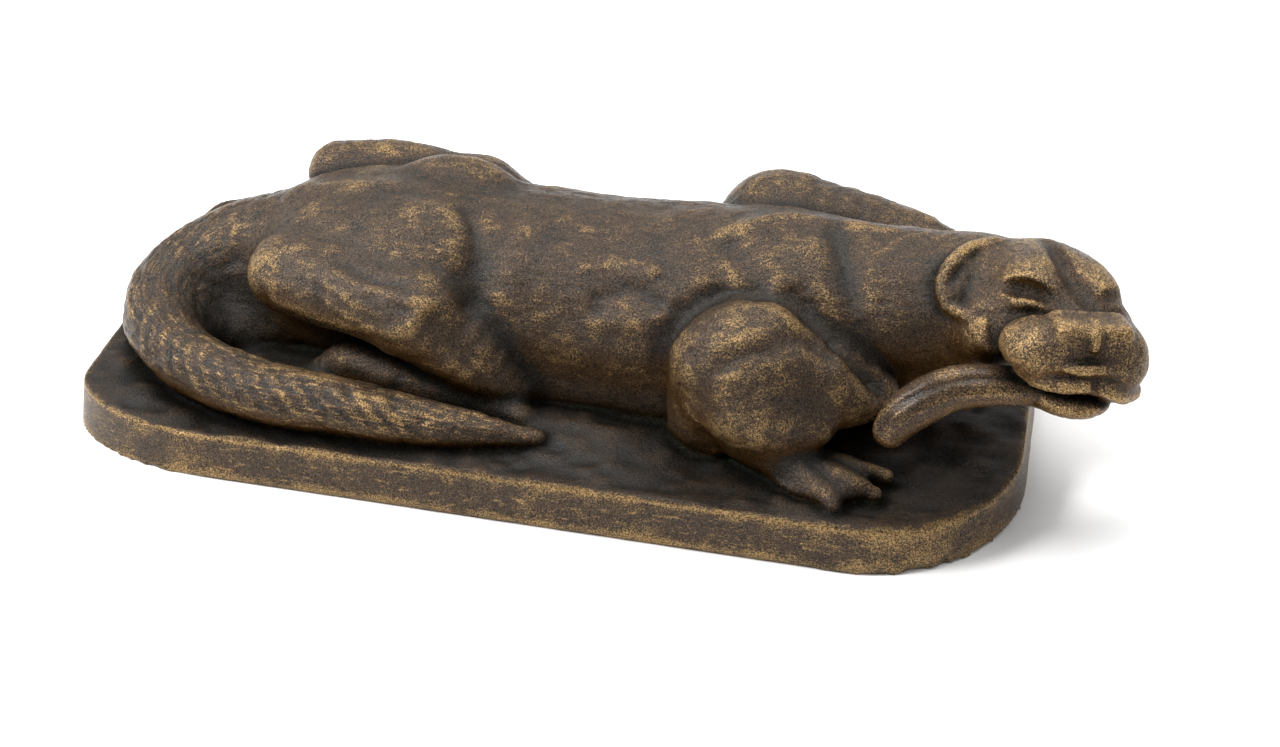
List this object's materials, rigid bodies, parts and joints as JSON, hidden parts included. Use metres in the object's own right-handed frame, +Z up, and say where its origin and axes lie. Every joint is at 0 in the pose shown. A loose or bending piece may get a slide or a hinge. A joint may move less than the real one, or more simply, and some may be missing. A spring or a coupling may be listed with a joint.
{
  "type": "otter sculpture on a plinth",
  "caption": "Bronze sculpture of a crouching otter with a fish in its mouth, its head turned over the end of a low rounded plinth.",
  "frame": {"origin": "centre of the plinth's flat underside", "axes": "+X along the plinth towards the otter's head, -Y towards the side the head is turned to, +Z up"},
  "size_m": [0.3731, 0.169, 0.0911],
  "materials": {
    "bronze": "cast bronze with a dark brown patina, satin, rubbed to gold on the high places and edges"
  },
  "bodies": {
    "root": {"otter_on_plinth": "bronze"}
  },
  "joints": []
}
